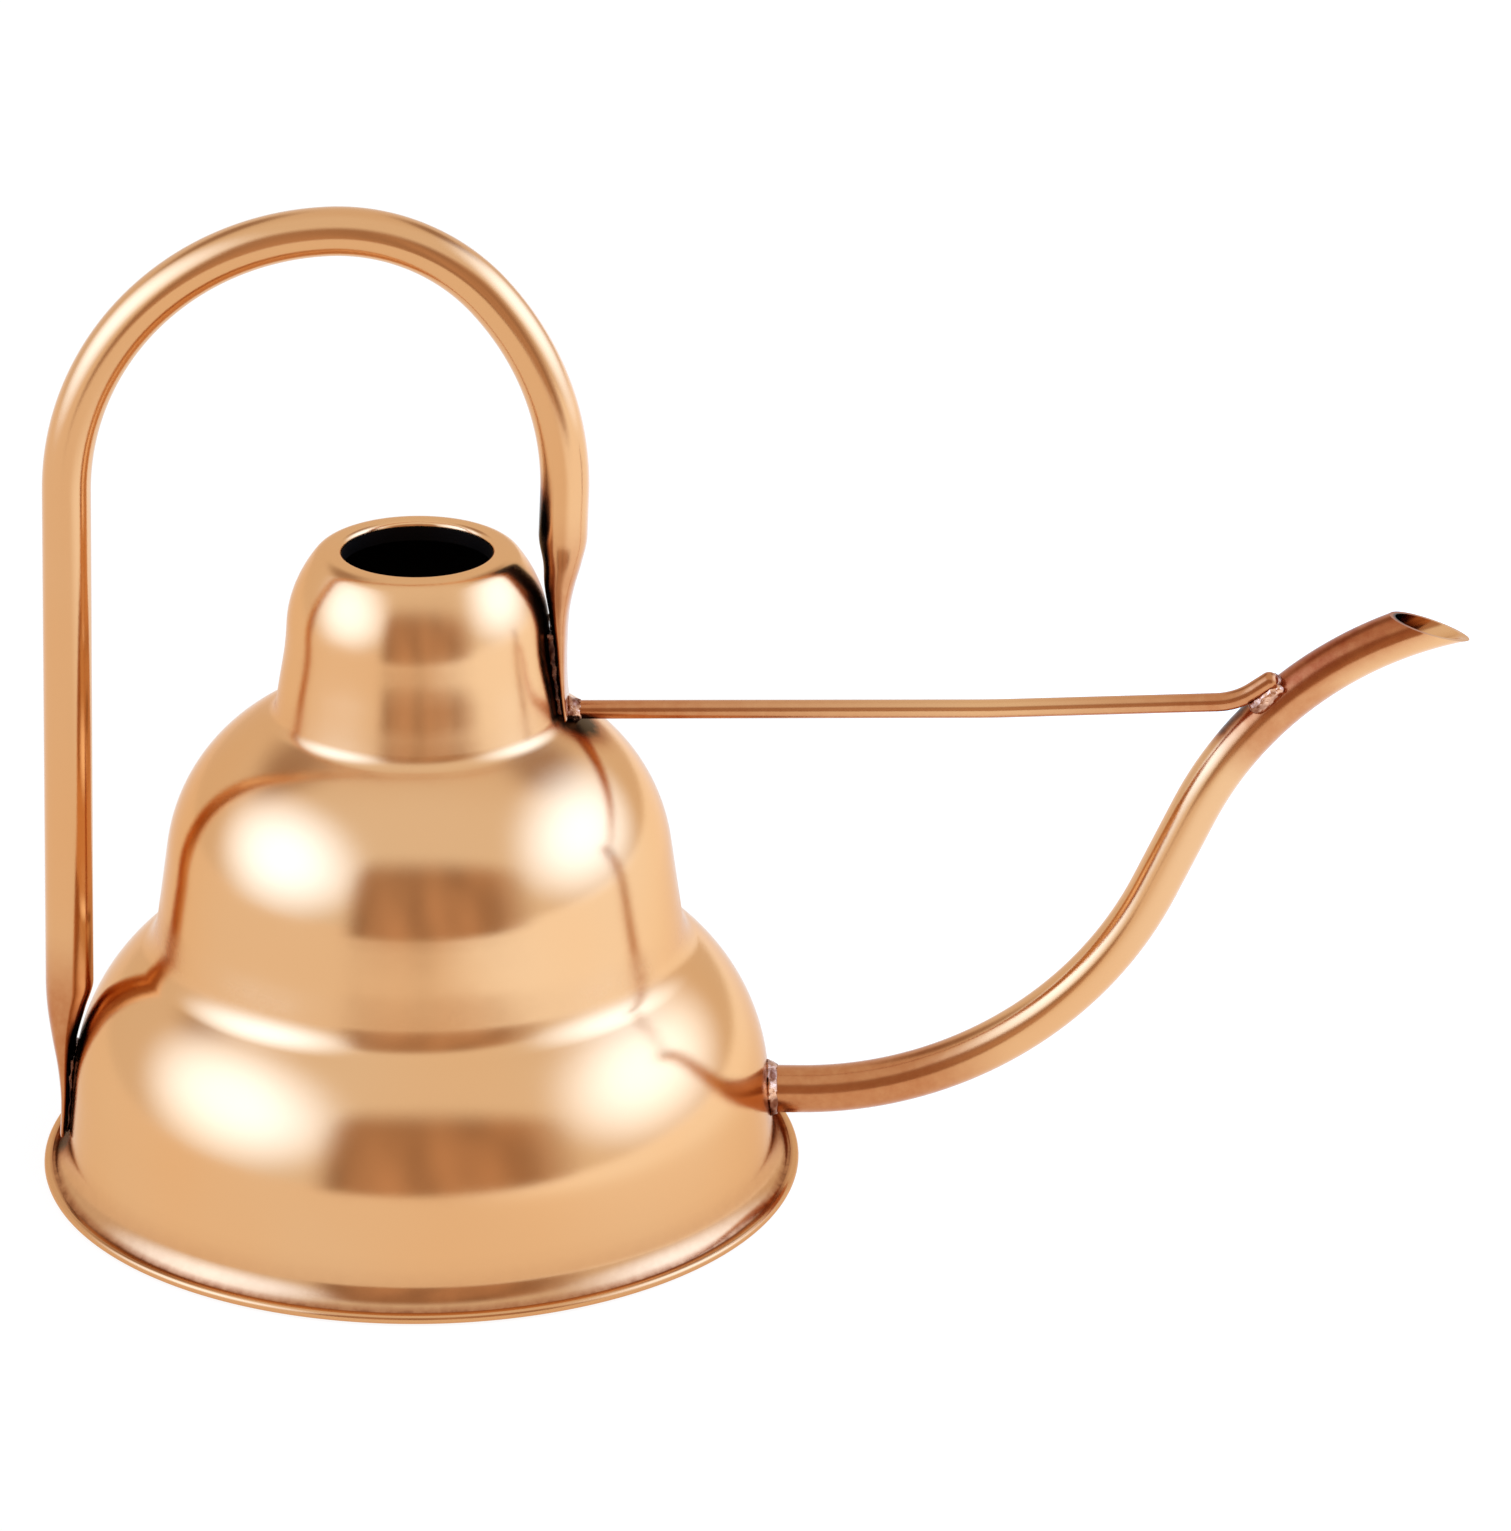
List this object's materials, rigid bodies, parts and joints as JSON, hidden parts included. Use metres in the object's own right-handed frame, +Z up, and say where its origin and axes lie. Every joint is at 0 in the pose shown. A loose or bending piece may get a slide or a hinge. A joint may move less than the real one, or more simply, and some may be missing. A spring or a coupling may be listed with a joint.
{
  "type": "watering can",
  "caption": "Small metal watering can with a stepped round body, tall hoop handle, thin curved spout and a straight stay rod.",
  "frame": {"origin": "on the surface the can stands on, on the axis of the round body", "axes": "+Z up through the filling mouth, +X towards the spout, +Y to the left when looking along +X"},
  "size_m": [0.295, 0.1588, 0.2103],
  "materials": {
    "body_copper": "polished, copper plated and lacquered",
    "pan_copper": "polished, copper plated and lacquered",
    "handle_copper": "polished, copper plated and lacquered",
    "spout_copper": "polished, copper plated and lacquered",
    "rod_copper": "polished, copper plated and lacquered",
    "plated_solder": "uneven, copper plated over solder",
    "inner_solder": "bare tin solder"
  },
  "bodies": {
    "root": {"body_shell": "body_copper", "base_pan": "pan_copper", "base_seam_solder": "inner_solder", "spout_tube": "spout_copper", "spout_root_solder": "plated_solder", "handle_tube": "handle_copper", "handle_rear_solder": "plated_solder", "handle_front_solder": "plated_solder", "stay_rod": "rod_copper", "stay_rear_solder": "plated_solder", "stay_front_solder": "plated_solder"}
  },
  "joints": []
}
